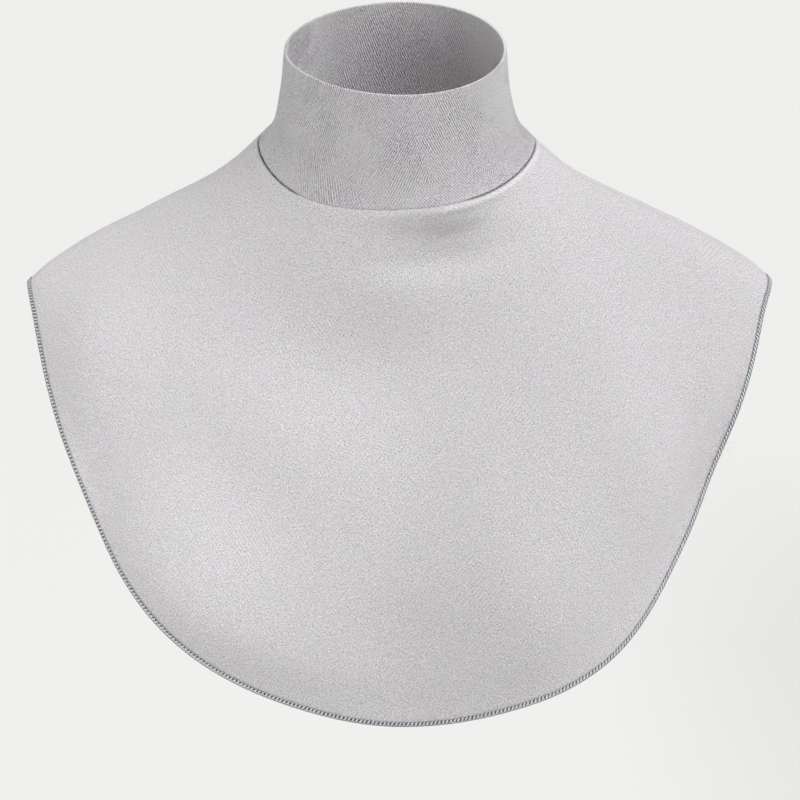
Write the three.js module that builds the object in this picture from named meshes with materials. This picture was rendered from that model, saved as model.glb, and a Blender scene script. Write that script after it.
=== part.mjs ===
// Turtleneck dickey: a folded mock-neck collar sewn to a front bib and a back bib of knit jersey,
// with an overlocked edge all round. It is shaped as it sits on a neck and a pair of shoulders.
// Millimetres, +Z up, the wearer's front towards -Y, the wearer's left towards +X.
// The origin is the middle of the neck, level with the two points where collar, front and back meet.
import * as THREE from 'three';

// Driving sizes
const NECK_SPAN = 146; // neckline seam, side to side
const NECK_FRONT = 64; // middle of the neck forward to the seam
const NECK_BACK = 60; // middle of the neck back to the seam
const NECK_DIP = 21.5; // how far the seam falls at the front
const NECK_RISE = 3; // how far the seam climbs at the back
const NECK_SAG = 2.2; // how far the seam sags between its sides and its front and back
const NECK_SKEW = 1.4; // how far the seam is drawn up at the front left and down at the front right
const RIM_SPAN = 115.5; // folded top edge of the collar, side to side
const RIM_DEPTH = 115; // folded top edge, front to back
const RIM_LEAN = 8; // how far the neck leans forward up to the top edge
const RIM_SWAY = 0.8; // how far the neck leans to the wearer's right up to the top edge
const RIM_SKEW = 0.9; // how far the top edge is drawn up at the front right and down at the front left
const RIM_HEIGHT = 52; // neck point up to the top edge at the side
const RIM_TILT = 14; // how far the top edge falls to the front and climbs to the back
const TIP_SPAN = 390; // shoulder tip to shoulder tip
const SHOULDER_FALL = 77; // neck point down to the shoulder tip
const FRONT_LENGTH = 281; // neck point down to the lowest point of the front
const FRONT_REACH = 112; // middle of the neck forward to that point
const BACK_LENGTH = 240; // neck point down to the lowest point of the back
const BACK_REACH = 88; // middle of the neck back to that point
const HEM_SWAY = 0.4; // how far the shoulder tips lie to the wearer's left of the neck
const HEM_SWING = 2.4; // how much further that way the lowest point of the front hangs
const HEM_SLANT = 1.2; // how far the wearer's left shoulder tip lies above the middle height
const CLOTH = 1.2; // one layer of jersey
const COLLAR_WALL = 2 * CLOTH; // the collar is folded double
const GAP = 0.3; // between pieces that are sewn together
const SEAM_ALLOWANCE = 6; // width of the overlocked turnings inside the neck and shoulder seams
const TURNINGS = 2; // thickness of those turnings
const EDGE_WIDTH = 2.6; // bead of overlock stitches round the outer edge
const EDGE_THICKNESS = 2;
const RELIEF = 10; // height of a fold whose share is 1

// Grid: steps across each bib, from the neckline to the hem, up the collar and round the edge's bead
const BIB_STEPS_ACROSS = 32;
const BIB_STEPS_DOWN = 14;
const COLLAR_STEPS = 6;
const BEAD_SIDES = 6;

// Angles round the neck: 0 is the middle of the front, a half turn the middle of the back.
const FRONT = 0;
const LEFT_SIDE = Math.PI / 2;
const BACK = Math.PI;
const RIGHT_SIDE = -Math.PI / 2;

// Three rings that the cloth is hung between, each by its extremes at the sides, front and back.
const NECKLINE = {
  half: NECK_SPAN / 2, sideY: 0, sideZ: 0,
  frontY: -NECK_FRONT, frontZ: -NECK_DIP, backY: NECK_BACK, backZ: NECK_RISE,
  sag: NECK_SAG, skew: NECK_SKEW, sway: 0, swing: 0, slant: 0,
};
const RIM = {
  half: RIM_SPAN / 2, sideY: -RIM_LEAN, sideZ: RIM_HEIGHT,
  frontY: -RIM_LEAN - RIM_DEPTH / 2, frontZ: RIM_HEIGHT - RIM_TILT,
  backY: -RIM_LEAN + RIM_DEPTH / 2, backZ: RIM_HEIGHT + RIM_TILT,
  sag: 0, skew: -RIM_SKEW, sway: -RIM_SWAY, swing: 0, slant: 0,
};
const HEM = {
  half: TIP_SPAN / 2, sideY: 0, sideZ: -SHOULDER_FALL,
  frontY: -FRONT_REACH, frontZ: -FRONT_LENGTH, backY: BACK_REACH, backZ: -BACK_LENGTH,
  sag: 0, skew: 0, sway: HEM_SWAY, swing: HEM_SWING, slant: HEM_SLANT,
};

// A table with named columns: each row becomes an object with a value for each column.
const table = (columns, ...rows) => rows.map(
  (row) => Object.fromEntries(columns.map((column, i) => [column, row[i]])),
);

// Each row is a section between two rings, and each column the share of the way from the first ring
// to the second. askew serves what is lopsided in a ring. fullness squares off the section's corners.
const COLLAR_SECTIONS = table(
  ['half', 'sideY', 'sideZ', 'frontY', 'frontZ', 'backY', 'backZ', 'askew', 'fullness'],
  [0, 0, 0, 0, 0, 0, 0, 0, 0.18],
  [0.53, 0.18, 0.18, -0.9, 0.23, 0.4, 0.19, 0.9, 0.05],
  [0.85, 0.55, 0.56, -0.3, 0.6, 0.8, 0.58, 1.25, 0],
  [1, 1, 1, 1, 1, 1, 1, 1, 0],
);
const BIB_SECTIONS = table(
  ['half', 'sideY', 'sideZ', 'frontY', 'frontZ', 'backY', 'backZ', 'askew', 'fullness'],
  [0, 0, 0, 0, 0, 0, 0, 0, 0.18],
  [0.19, 0, 0.24, 0.12, 0.16, 0.46, 0.18, 0.2, 0.22],
  [0.5, 0, 0.49, 0.5, 0.42, 0.9, 0.4, 0.5, 0.5],
  [0.8, 0, 0.73, 0.86, 0.72, 1.1, 0.7, 0.8, 0.82],
  [1, 0, 1, 1, 1, 1, 1, 1, 1.05],
);

// Folds and swells of the cloth, each a smooth mound: the angle of its middle in degrees and its place
// as a share of the way to the hem or rim, its half-widths in the same measures, and its height as a
// share of RELIEF.
const COLLAR_FOLDS = table(
  ['angle', 'spread', 'along', 'length', 'height'],
  [-62, 22, 0.62, 0.1, 0.1], // crease at the wearer's right
  [-66, 22, 0.4, 0.1, -0.08],
);
const BIB_FOLDS = table(
  ['angle', 'spread', 'along', 'length', 'height'],
  [29, 15, 0.84, 0.24, 1.35], // over the wearer's left breast
  [-29, 15, 0.82, 0.24, 1.45], // over the wearer's right breast
  [88, 26, 0.95, 0.13, 0.35], // ball of the wearer's left shoulder
  [-88, 26, 0.95, 0.13, 0.3], // ball of the wearer's right shoulder
  [6, 14, 0.94, 0.08, 0.35], // slack between the breasts
  [10, 40, 0.21, 0.07, -0.3], // hollow below the neckline
  [24, 16, 0.07, 0.035, 0.2], // roll under the seam
);
const FLAT_AT_SEAM = 0.06; // the share of the way over which the folds fade in from the seam

// The value of one column at a share t of the way down a table, by a smooth curve through its rows.
function between(rows, column, t) {
  const last = rows.length - 1;
  const place = THREE.MathUtils.clamp(t, 0, 1) * last;
  const i = Math.min(Math.floor(place), last - 1);
  const f = place - i;
  const value = (k) => rows[k][column];
  const slope = (k) => {
    const before = Math.max(k - 1, 0);
    const after = Math.min(k + 1, last);
    return (value(after) - value(before)) / (after - before);
  };
  return value(i) * (2 * f ** 3 - 3 * f ** 2 + 1) + slope(i) * (f ** 3 - 2 * f ** 2 + f)
    + value(i + 1) * (3 * f ** 2 - 2 * f ** 3) + slope(i + 1) * (f ** 3 - f ** 2);
}

// The section at a share t of the way from one ring to another.
function sectionAt(sections, from, to, t) {
  const section = { fullness: between(sections, 'fullness', t) };
  for (const name of Object.keys(from)) {
    const column = name in sections[0] ? name : 'askew';
    section[name] = THREE.MathUtils.lerp(from[name], to[name], between(sections, column, t));
  }
  return section;
}

// A smooth closed curve through a section's side, front and back extremes.
function sectionPoint(section, angle) {
  const s = Math.sin(angle);
  const c = Math.cos(angle);
  const through = (side, front, back) => side + (front - back) / 2 * c + ((front + back) / 2 - side) * c * c;
  return new THREE.Vector3(
    section.half * s * Math.sqrt(1 + section.fullness * c ** 4) + section.sway + section.swing * c ** 2,
    through(section.sideY, section.frontY, section.backY),
    through(section.sideZ, section.frontZ, section.backZ)
      - section.sag * Math.sin(2 * angle) ** 2 + section.skew * Math.sin(2 * angle) + section.slant * s,
  );
}

// The height of the folds at one place.
function reliefAt(folds, angle, t) {
  const fade = THREE.MathUtils.smoothstep(t, 0, FLAT_AT_SEAM);
  const turnFrom = (degrees) => {
    const d = angle - THREE.MathUtils.degToRad(degrees);
    return THREE.MathUtils.radToDeg(Math.atan2(Math.sin(d), Math.cos(d)));
  };
  const mound = (fold) => fold.height
    * Math.exp(-((turnFrom(fold.angle) / fold.spread) ** 2) - ((t - fold.along) / fold.length) ** 2);
  return RELIEF * fade * folds.reduce((sum, fold) => sum + mound(fold), 0);
}

// A sheet of cloth hung from one ring to another. It gives, at an angle and a share of the way, the
// point that lies a depth inside its outer face, the outward and the onward direction there, and the
// length of cloth that one radian and one whole way would take.
function clothSheet(sections, from, to, folds, facing) {
  const base = (angle, t) => sectionPoint(sectionAt(sections, from, to, t), angle);
  const step = 1e-3;
  return (angle, t, depth = 0) => {
    const before = Math.max(t - step, 0);
    const after = Math.min(t + step, 1);
    const round = base(angle + step, t).sub(base(angle - step, t));
    const onward = base(angle, after).sub(base(angle, before));
    const perRadian = round.length() / (2 * step);
    const perWay = onward.length() / (after - before);
    const outward = round.clone().cross(onward).normalize().multiplyScalar(facing);
    const point = base(angle, t).addScaledVector(outward, reliefAt(folds, angle, t) - depth);
    return { point, outward, onward: onward.normalize(), perRadian, perWay };
  };
}

const collarSheet = clothSheet(COLLAR_SECTIONS, NECKLINE, RIM, COLLAR_FOLDS, 1);
const bibSheet = clothSheet(BIB_SECTIONS, NECKLINE, HEM, BIB_FOLDS, -1);

const steps = (count) => Array.from({ length: count + 1 }, (_, i) => i / count);
const ways = steps(BIB_STEPS_DOWN);

// The share of the way that a length along a sheet takes, and the angle that one across it takes.
const shareOf = (length, sheet, angle, t) => length / sheet(angle, t).perWay;
const seamAngleOf = (length, t) => length / bibSheet(LEFT_SIDE, t).perRadian;

// Angles across one bib from its middle: the cut edges, and even steps between the turnings' edges.
function anglesAcross(t) {
  const cut = Math.PI / 2 - seamAngleOf(GAP / 2, t);
  const beside = Math.PI / 2 - seamAngleOf(SEAM_ALLOWANCE / 2, t);
  const even = steps(BIB_STEPS_ACROSS).map((share) => THREE.MathUtils.lerp(-beside, beside, share));
  return [-cut, ...even, cut];
}

// Angles round the whole neck in step with both bibs, with one on each shoulder seam.
const anglesRound = (t) => [FRONT, BACK].flatMap((middle) => [
  middle - Math.PI / 2,
  ...anglesAcross(t).slice(1, -1).map((angle) => middle + angle),
]);

// A closed geometry over a row of profile loops of equally many points. As a ring the last loop
// joins the first. Otherwise each end is capped, from the loop's first and last point inwards.
function loft(loops, isRing) {
  const size = loops[0].length;
  const faces = [];
  const quad = (a, b, c, d) => faces.push(a, b, c, a, c, d);
  const spans = isRing ? loops.length : loops.length - 1;
  for (let j = 0; j < spans; j += 1) {
    const here = j * size;
    const next = ((j + 1) % loops.length) * size;
    for (let i = 0; i < size; i += 1) {
      const k = (i + 1) % size;
      quad(here + i, here + k, next + k, next + i);
    }
  }
  if (!isRing) {
    const end = (loops.length - 1) * size;
    for (let i = 0; i < size / 2 - 1; i += 1) {
      quad(i, size - 1 - i, size - 2 - i, i + 1);
      quad(end + i, end + i + 1, end + size - 2 - i, end + size - 1 - i);
    }
  }
  const geometry = new THREE.BufferGeometry().setFromPoints(loops.flat());
  geometry.setIndex(faces);
  geometry.computeVertexNormals();
  return geometry;
}

// The outline of a layer that runs through places on a sheet, between two depths inside its outer face.
function layerProfile(places, sheet, top, bottom) {
  const outside = places.map(([angle, t]) => sheet(angle, t, top).point);
  const inside = places.map(([angle, t]) => sheet(angle, t, bottom).point);
  return [...outside, ...inside.reverse()];
}

// Collar: one wall of two layers, up the outside, over the folded rim and down the inside.
function collarGeometry() {
  const foldRadius = COLLAR_WALL / 2;
  const loops = anglesRound(0).map((angle) => {
    const low = shareOf(GAP / 2, collarSheet, angle, 0);
    const high = 1 - shareOf(foldRadius, collarSheet, angle, 1);
    const places = steps(COLLAR_STEPS).map((share) => [angle, THREE.MathUtils.lerp(low, high, share)]);
    const wall = layerProfile(places, collarSheet, 0, COLLAR_WALL);
    const { point, outward, onward } = collarSheet(angle, high, foldRadius);
    const fold = [0.25, 0.5, 0.75].map((share) => point.clone()
      .addScaledVector(outward, foldRadius * Math.cos(Math.PI * share))
      .addScaledVector(onward, foldRadius * Math.sin(Math.PI * share)));
    wall.splice(places.length, 0, ...fold);
    return wall.reverse();
  });
  return loft(loops, true);
}

// Bib: one layer from the neckline to the hem, between the two shoulder seams.
function bibGeometry(middle) {
  const across = ways.map((t) => anglesAcross(t).map((angle) => middle + angle));
  const loops = across[0].map((_, i) => {
    const places = ways.map((t, row) => {
      const angle = across[row][i];
      return [angle, Math.max(t, shareOf(GAP / 2, bibSheet, angle, 0))];
    });
    return layerProfile(places, bibSheet, 0, CLOTH);
  });
  return loft(loops, false);
}

// Turnings of the neckline seam: a flat ring pressed down under the tops of both bibs.
function neckTurningsGeometry() {
  const top = CLOTH + GAP;
  const loops = anglesRound(0).map((angle) => {
    const low = shareOf(GAP, bibSheet, angle, 0);
    const width = shareOf(SEAM_ALLOWANCE, bibSheet, angle, 0);
    const places = steps(2).map((share) => [angle, low + width * share]);
    return layerProfile(places, bibSheet, top, top + TURNINGS);
  });
  return loft(loops, true);
}

// Turnings of a shoulder seam: a flat strip under the meeting edges of the two bibs.
function shoulderTurningsGeometry(side) {
  const top = CLOTH + GAP;
  const start = shareOf(GAP + SEAM_ALLOWANCE + GAP, bibSheet, side, 0);
  const end = 1 - shareOf(EDGE_WIDTH, bibSheet, side, 1);
  const rows = [start, ...ways.filter((t) => t > start && t < end), end];
  const loops = rows.map((t) => {
    const half = seamAngleOf(SEAM_ALLOWANCE / 2, t);
    const places = [side - half, side, side + half].map((angle) => [angle, t]);
    return layerProfile(places, bibSheet, top, top + TURNINGS).reverse();
  });
  return loft(loops, false);
}

// Overlocked edge: a rounded bead of stitches that follows the hem all round.
function edgeGeometry() {
  const corners = steps(BEAD_SIDES).slice(1).map((share) => 2 * Math.PI * share);
  const loops = anglesRound(1).map((angle) => {
    const { point, outward, onward } = bibSheet(angle, 1, CLOTH / 2);
    const centre = point.addScaledVector(onward, GAP + EDGE_WIDTH / 2);
    return corners.map((turn) => centre.clone()
      .addScaledVector(outward, EDGE_THICKNESS / 2 * Math.cos(turn))
      .addScaledVector(onward, EDGE_WIDTH / 2 * Math.sin(turn)));
  });
  return loft(loops, true);
}

const jersey = new THREE.MeshStandardMaterial({ color: 0xcfccd2, roughness: 0.92, metalness: 0 });
const collarJersey = new THREE.MeshStandardMaterial({ color: 0xc2bfc6, roughness: 0.94, metalness: 0 });
const thread = new THREE.MeshStandardMaterial({ color: 0xa3a8ac, roughness: 0.6, metalness: 0 });

const dickey = new THREE.Group();
function addPiece(name, geometry, material) {
  const mesh = new THREE.Mesh(geometry, material);
  mesh.name = name;
  dickey.add(mesh);
}
addPiece('collar', collarGeometry(), collarJersey);
addPiece('front_bib', bibGeometry(FRONT), jersey);
addPiece('back_bib', bibGeometry(BACK), jersey);
addPiece('neck_turnings', neckTurningsGeometry(), thread);
addPiece('shoulder_turnings_left', shoulderTurningsGeometry(LEFT_SIDE), thread);
addPiece('shoulder_turnings_right', shoulderTurningsGeometry(RIGHT_SIDE), thread);
addPiece('overlocked_edge', edgeGeometry(), thread);

export default dickey;
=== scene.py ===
"""Turtleneck dickey of pale lilac-grey jersey: the finish of every piece, as Blender objects in metres.

Each sheet of cloth is hung between two rings, as in the solid model: a ring is given by its extremes at the
sides, the front and the back, and a table says how far each of those has gone at a share of the way.
Angles go round the neck: 0 is the middle of the front, a quarter turn the wearer's left.
"""
import math

import bpy
import numpy as np
from bpy.props import FloatProperty, FloatVectorProperty, IntProperty, PointerProperty
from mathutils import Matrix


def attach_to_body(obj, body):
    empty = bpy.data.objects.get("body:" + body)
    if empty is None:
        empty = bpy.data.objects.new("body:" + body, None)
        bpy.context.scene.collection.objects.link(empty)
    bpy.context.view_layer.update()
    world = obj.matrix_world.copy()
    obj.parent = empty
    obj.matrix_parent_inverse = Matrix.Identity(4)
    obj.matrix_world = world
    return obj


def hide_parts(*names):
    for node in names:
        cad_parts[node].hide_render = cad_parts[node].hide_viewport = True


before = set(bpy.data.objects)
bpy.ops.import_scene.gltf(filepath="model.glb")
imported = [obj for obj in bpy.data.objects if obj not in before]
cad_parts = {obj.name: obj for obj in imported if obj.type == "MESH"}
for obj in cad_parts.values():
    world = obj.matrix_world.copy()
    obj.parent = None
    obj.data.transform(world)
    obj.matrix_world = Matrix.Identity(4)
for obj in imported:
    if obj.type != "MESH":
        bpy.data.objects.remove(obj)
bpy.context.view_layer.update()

bl_info = {
    "name": "Turtleneck Dickey",
    "version": (1, 0, 0),
    "blender": (4, 5, 0),
    "location": "View3D > Sidebar > Dickey",
    "description": "Knit collar, bibs and overlocked edge of a dickey, with a stage to look at it",
    "category": "Object",
}

BODY = "root"
FRONT = 0.0
BACK = math.pi
QUARTER = math.pi / 2
MILLIMETRE = 0.001


def length(name, default, description):
    """A length in metres that a user may change."""
    return FloatProperty(name=name, description=description, default=default, precision=5, unit="LENGTH")


def colour(name, default, description):
    """A colour that a user may change."""
    return FloatVectorProperty(
        name=name, description=description, default=default, size=3, min=0, max=1, subtype="COLOR"
    )


class DickeySizes(bpy.types.PropertyGroup):
    """The rings that the cloth hangs between, and what joins its pieces."""

    neck_span: length("Neck span", 0.146, "Neckline seam, side to side")
    neck_front: length("Neck front", 0.064, "Middle of the neck forward to the seam")
    neck_back: length("Neck back", 0.060, "Middle of the neck back to the seam")
    neck_dip: length("Neck dip", 0.0215, "How far the seam falls at the front")
    neck_rise: length("Neck rise", 0.003, "How far the seam climbs at the back")
    neck_sag: length("Neck sag", 0.0022, "How far the seam sags between its sides and its front and back")
    neck_skew: length("Neck skew", 0.0014, "How far the seam is drawn up at the front left")
    rim_span: length("Rim span", 0.1155, "Folded top edge of the collar, side to side")
    rim_depth: length("Rim depth", 0.115, "Folded top edge, front to back")
    rim_lean: length("Rim lean", 0.008, "How far the collar leans forward up to its top edge")
    rim_sway: length("Rim sway", 0.0008, "How far the collar leans to the wearer's right")
    rim_skew: length("Rim skew", 0.0009, "How far the top edge is drawn up at the front right")
    rim_height: length("Rim height", 0.052, "Neck point up to the top edge at the side")
    rim_tilt: length("Rim tilt", 0.014, "How far the top edge falls to the front and climbs to the back")
    tip_span: length("Tip span", 0.390, "Shoulder tip to shoulder tip")
    shoulder_fall: length("Shoulder fall", 0.077, "Neck point down to the shoulder tip")
    front_length: length("Front length", 0.281, "Neck point down to the lowest point of the front")
    front_reach: length("Front reach", 0.112, "Middle of the neck forward to that point")
    back_length: length("Back length", 0.240, "Neck point down to the lowest point of the back")
    back_reach: length("Back reach", 0.088, "Middle of the neck back to that point")
    hem_sway: length("Hem sway", 0.0004, "How far the shoulder tips lie to the wearer's left")
    hem_swing: length("Hem swing", 0.0024, "How much further that way the lowest point of the front hangs")
    hem_slant: length("Hem slant", 0.0012, "How far the wearer's left shoulder tip is raised")
    gap: length("Gap", 0.0003, "Between pieces that are sewn together")
    relief: length("Relief", 0.010, "Height of a fold whose share is 1")


class DickeyCloth(bpy.types.PropertyGroup):
    """The jersey, its seams and its stitches."""

    layer: length("Layer", 0.0007, "One layer of jersey")
    fold_gap: length("Fold gap", 0.0004, "Space between the collar's two layers")
    seam_gap: length("Seam gap", 0.00012, "Between two pieces of cloth that are sewn together")
    groove_depth: length("Groove depth", 0.0011, "How deep a seam draws the cloth in")
    groove_width: length("Groove width", 0.00045, "How far from a seam the cloth is drawn in")
    shoulder_groove: length("Shoulder groove", 0.0009, "How deep a shoulder seam draws the cloth in")
    pucker: length("Pucker", 0.00012, "Height of the small gathers beside the neckline seam")
    sway: length("Sway", 0.0007, "Height of the slow unevenness of the hanging cloth")
    allowance: length("Seam allowance", 0.006, "Width of the turnings inside the seams")
    turnings: length("Turnings", 0.0012, "Thickness of those turnings without their stitches")
    turnings_depth: length("Turnings depth", 0.003, "Middle of the turnings inside the cloth's face")
    edge_width: length("Edge width", 0.0024, "Width of the overlocked edge")
    edge_thickness: length("Edge thickness", 0.0014, "Thickness of the overlocked edge")
    stitch: length("Stitch", 0.00205, "Length of one overlock stitch")
    thread: length("Thread", 0.0005, "Thickness of the overlock thread")
    spread: FloatProperty(name="Spread", description="How much wider than thick it lies", default=1.8)


class DickeyColours(bpy.types.PropertyGroup):
    """Colours of the cloth and the thread."""

    bib: colour("Bib", (0.655, 0.635, 0.658), "Jersey of the bibs")
    collar: colour("Collar", (0.538, 0.516, 0.546), "Jersey of the collar, its ribbed side out")
    thread: colour("Thread", (0.66, 0.68, 0.695), "Overlock thread that wraps the edge")
    chain: colour("Chain", (0.33, 0.35, 0.375), "Overlock thread along the edge")
    floor: colour("Floor", (0.84, 0.84, 0.825), "Floor")
    # Painted shade on the floor right under the dickey, which also sends less light up onto it.
    floor_shade: colour("Floor below", (0.42, 0.42, 0.415), "Floor right under the dickey")
    sky: colour("Sky", (1.0, 1.0, 0.99), "Light from all round")


class DickeyStage(bpy.types.PropertyGroup):
    """Camera, floor and lights."""

    camera_x: length("Camera X", 0.00158, "Camera's place to the wearer's left")
    camera_y: length("Camera Y", -1.76067, "Camera's place behind the middle of the neck")
    camera_z: length("Camera Z", 0.37424, "Camera's place above the neck points")
    camera_fall: FloatProperty(
        name="Camera fall", description="How far the camera looks down", default=math.radians(16.32),
        subtype="ANGLE",
    )
    lens: FloatProperty(name="Lens", description="Focal length in millimetres", default=153.7)
    floor_fall: length("Floor fall", 1.1, "Floor below the neck points")
    floor_side: length("Floor side", 60.0, "Side of the square floor")
    key_strength: FloatProperty(name="Key", description="Strength of the high front light", default=2.56)
    back_strength: FloatProperty(name="Back", description="Strength of the high back light", default=0.6)
    side_power: FloatProperty(
        name="Side", description="Power of the low light at the wearer's right", default=4.0, unit="POWER"
    )
    softness: FloatProperty(
        name="Softness", description="Width of both lights in the sky", default=math.radians(50),
        subtype="ANGLE",
    )
    sky_strength: FloatProperty(name="Sky strength", description="Strength of the sky", default=0.3)
    samples_across: IntProperty(name="Columns", description="Steps across a bib", default=236)


def table(columns, *rows):
    """Named columns of numbers, each as an array with a value for every row."""
    return {name: np.array([row[i] for row in rows], float) for i, name in enumerate(columns)}


def rows_of(columns):
    """The rows of a table, one after the other."""
    return zip(*columns.values())


# Shares of the way between two rings, as in the solid model, a row for each section.
SECTION_COLUMNS = (
    "half", "side_y", "side_z", "front_y", "front_z", "back_y", "back_z", "askew", "fullness",
)
COLLAR_SECTIONS = table(
    SECTION_COLUMNS,
    (0, 0, 0, 0, 0, 0, 0, 0, 0.18),
    (0.53, 0.18, 0.18, -0.9, 0.23, 0.4, 0.19, 0.9, 0.05),
    (0.85, 0.55, 0.56, -0.3, 0.6, 0.8, 0.58, 1.25, 0),
    (1, 1, 1, 1, 1, 1, 1, 1, 0),
)
BIB_SECTIONS = table(
    SECTION_COLUMNS,
    (0, 0, 0, 0, 0, 0, 0, 0, 0.18),
    (0.19, 0, 0.24, 0.12, 0.16, 0.46, 0.18, 0.2, 0.22),
    (0.5, 0, 0.49, 0.5, 0.42, 0.9, 0.4, 0.5, 0.5),
    (0.8, 0, 0.73, 0.86, 0.72, 1.1, 0.7, 0.8, 0.82),
    (1, 0, 1, 1, 1, 1, 1, 1, 1.05),
)

# Smooth mounds: angle and spread in degrees, place and half-length as shares of the way, height as a
# share of the relief. Those of the bibs are stronger than in the solid model.
FOLD_COLUMNS = ("angle", "spread", "along", "length", "height")
COLLAR_FOLDS = table(
    FOLD_COLUMNS,
    (-62, 22, 0.62, 0.1, 0.1),
    (-66, 22, 0.4, 0.1, -0.08),
)
BIB_FOLDS = table(
    FOLD_COLUMNS,
    (14, 12, 0.79, 0.23, 1.4),
    (-29, 15, 0.82, 0.24, 1.45),
    (88, 26, 0.95, 0.13, 0.35),
    (-88, 26, 0.95, 0.13, 0.3),
    (6, 14, 0.94, 0.08, 0.35),
    (2, 32, 0.37, 0.13, -1.0),
    (16, 22, 0.17, 0.08, -0.5),
    (24, 16, 0.07, 0.035, 0.2),
    (-26, 13, 0.68, 0.12, -0.85),
    (-31, 17, 0.99, 0.15, 1.3),
    (-49, 12, 1.06, 0.08, 1.0),
    (-60, 12, 0.8, 0.22, 1.2),
    (36, 18, 0.68, 0.2, 1.6),
    (60, 10, 0.9, 0.1, 0.6),
    (50, 15, 1.02, 0.1, -1.4),
    (57, 9, 1.05, 0.04, 0.4),
    (18, 10, 0.8, 0.14, 0.5),
    (-12, 28, 0.44, 0.13, -0.7),
    (0, 9, 0.9, 0.12, -0.35),
    (-20, 20, 1.02, 0.08, -0.8),
    (-2, 14, 1.03, 0.1, -0.2),
    (22, 18, 1.02, 0.08, -0.4),
    (8, 11, 1.04, 0.07, 0.45),
    (36, 10, 1.02, 0.1, -0.5),
)
FLAT_AT_SEAM = 0.06

# Long thin folds on the bibs: their two ends as angles in degrees and shares of the way, then the bow,
# half-width and height in millimetres.
CREASE_COLUMNS = ("from_angle", "from_along", "to_angle", "to_along", "bow", "width", "height")
FRONT_CREASES = table(
    CREASE_COLUMNS,
    (12, 0.045, 74, 0.045, 0, 2.6, 0.7),
    (2, 0.03, 40, 0.035, 0, 1.6, -0.35),
)
NO_CREASES = table(CREASE_COLUMNS)

# Rolls beside the neckline seam: angle and spread in degrees, then the distance from the seam, the
# half-width and the height in millimetres.
ROLL_COLUMNS = ("angle", "spread", "distance", "width", "height")
SEAM_ROLLS = table(
    ROLL_COLUMNS,
    (34, 26, 3.0, 1.9, 0.9),
    (16, 24, 13.0, 7.8, -4.2),
    (14, 26, 30.0, 13.0, -2.6),
    (42, 15, 9.0, 4.5, -1.6),
    (-10, 30, 4.0, 3.0, 0.3),
    (-62, 16, 5.0, 4.0, -0.5),
)

# How far the hem hangs below or above the plain ring, in millimetres: angle and spread in degrees.
HEM_NUDGES = table(
    ("angle", "spread", "fall"),
    (-82, 13, -3.6),
    (-38, 19, -6.4),
    (-2, 8, 1.6),
    (11, 7, -1.2),
    (26, 10, 3.8),
    (38, 8, 1.2),
    (46, 6, 2.2),
    (60, 12, 3.0),
    (78, 8, -2.2),
)

# One overlock stitch: places along the stitch, across the edge and above its middle. The looper thread goes
# over the edge, round it and back below it to the next stitch.
STITCH_COLUMNS = ("along", "across", "above")
LOOPER_STITCH = table(
    STITCH_COLUMNS,
    (0.8, -1.0, 0.45),
    (0.66, -0.7, 1.0),
    (0.45, 0.0, 1.1),
    (0.24, 0.7, 0.85),
    (0.15, 1.0, 0.0),
    (0.4, 0.7, -0.85),
    (0.95, 0.0, -1.1),
    (1.5, -0.7, -1.0),
    (1.72, -1.0, -0.45),
)
NEEDLE_STITCH = table(
    STITCH_COLUMNS,
    (0.0, -1.0, 0.5),
    (0.3, -1.06, 1.1),
    (0.7, -1.06, 1.1),
)

# Free ends of thread at the front hem: angle in degrees, then how far each runs along the hem to the
# wearer's left, inwards from it and off the cloth, and its thickness, in millimetres.
END_COLUMNS = ("angle", "along", "inward", "lift", "thickness")
LOOSE_ENDS = table(
    END_COLUMNS,
    (3.2, 1.8, 5.0, 0.7, 0.3),
    (5.8, 1.8, 3.6, 0.8, 0.34),
    (5.3, 0.3, -2.2, 0.1, 0.5),
    (56.0, 2.0, -5.2, 0.6, 0.18),
    (55.4, -2.0, -4.0, 0.3, 0.16),
    (56.6, 4.5, -3.2, 0.9, 0.16),
)
THREAD_SIDES = 5
POINTED_END = 0.02

# Where the neckline seam is pulled flat: the angles in degrees over which its groove comes back on either
# side, and how much of it is gone between them.
TAUT = {"left": (22, 36), "right": (39, 48), "share": 0.93}

# Where the bibs get a painted highlight, on the roll over the turnings, and painted shade, in the hollow
# under the
# neckline: angles in degrees, millimetres from the seam, and how much the shade changes.
ROLL_HIGHLIGHT = {"start": (8, 30), "end": (78, 90), "distance": 1.8, "width": 1.0, "bib": 0.3, "collar": 0.15}
HOLLOW_SHADE = {"angle": 17, "spread": 19, "start": (1.5, 5), "end": (12, 50), "shade": 0.24}

# A shoulder seam shows near the neck, fades over these shares of the way, and is faint elsewhere.
SHOULDER_FADE = (0.1, 0.2)
FAINT_SEAM = 0.06

# Gathers beside the neckline seam: how many go round, how far and how often their pace wanders, and how
# soon they fade, in metres.
PUCKERS_ROUND = 58
PUCKER_WANDER = 1.6
PUCKER_WAVES = (3, 5, 8, 13)
PUCKER_REACH = 0.004

# Seeds of the random draws.
BIB_SWAY_SEED = 11
COLLAR_SWAY_SEED = 21
BIB_PUCKER_SEED = 5
COLLAR_PUCKER_SEED = 6
EDGE_SEED = 31
TURNINGS_SEED = 41

# The bibs unroll like a cone with its tip so far before the seam. Their cloth runs on under the overlocked
# edge by a share of its width, and is pressed by a share of its own thickness there.
BIB_APEX = 0.113
UNDER_EDGE = 0.8
PRESSED = 0.3

# Steps round the collar and the neck turnings, along a shoulder seam, and across a strip of turnings.
COLLAR_COLUMNS = 300
NECK_STRIP_COLUMNS = 260
SHOULDER_STRIP_COLUMNS = 121
STRIP_ROWS = 7
SHARP_ANGLE = math.radians(55)
COLLAR_SWAY = 0.4

# The collar's fold gets a painted highlight, strongest at the wearer's left.
FOLD_HIGHLIGHT = 0.45
FOLD_HIGHLIGHT_LEFT = 0.3

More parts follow.
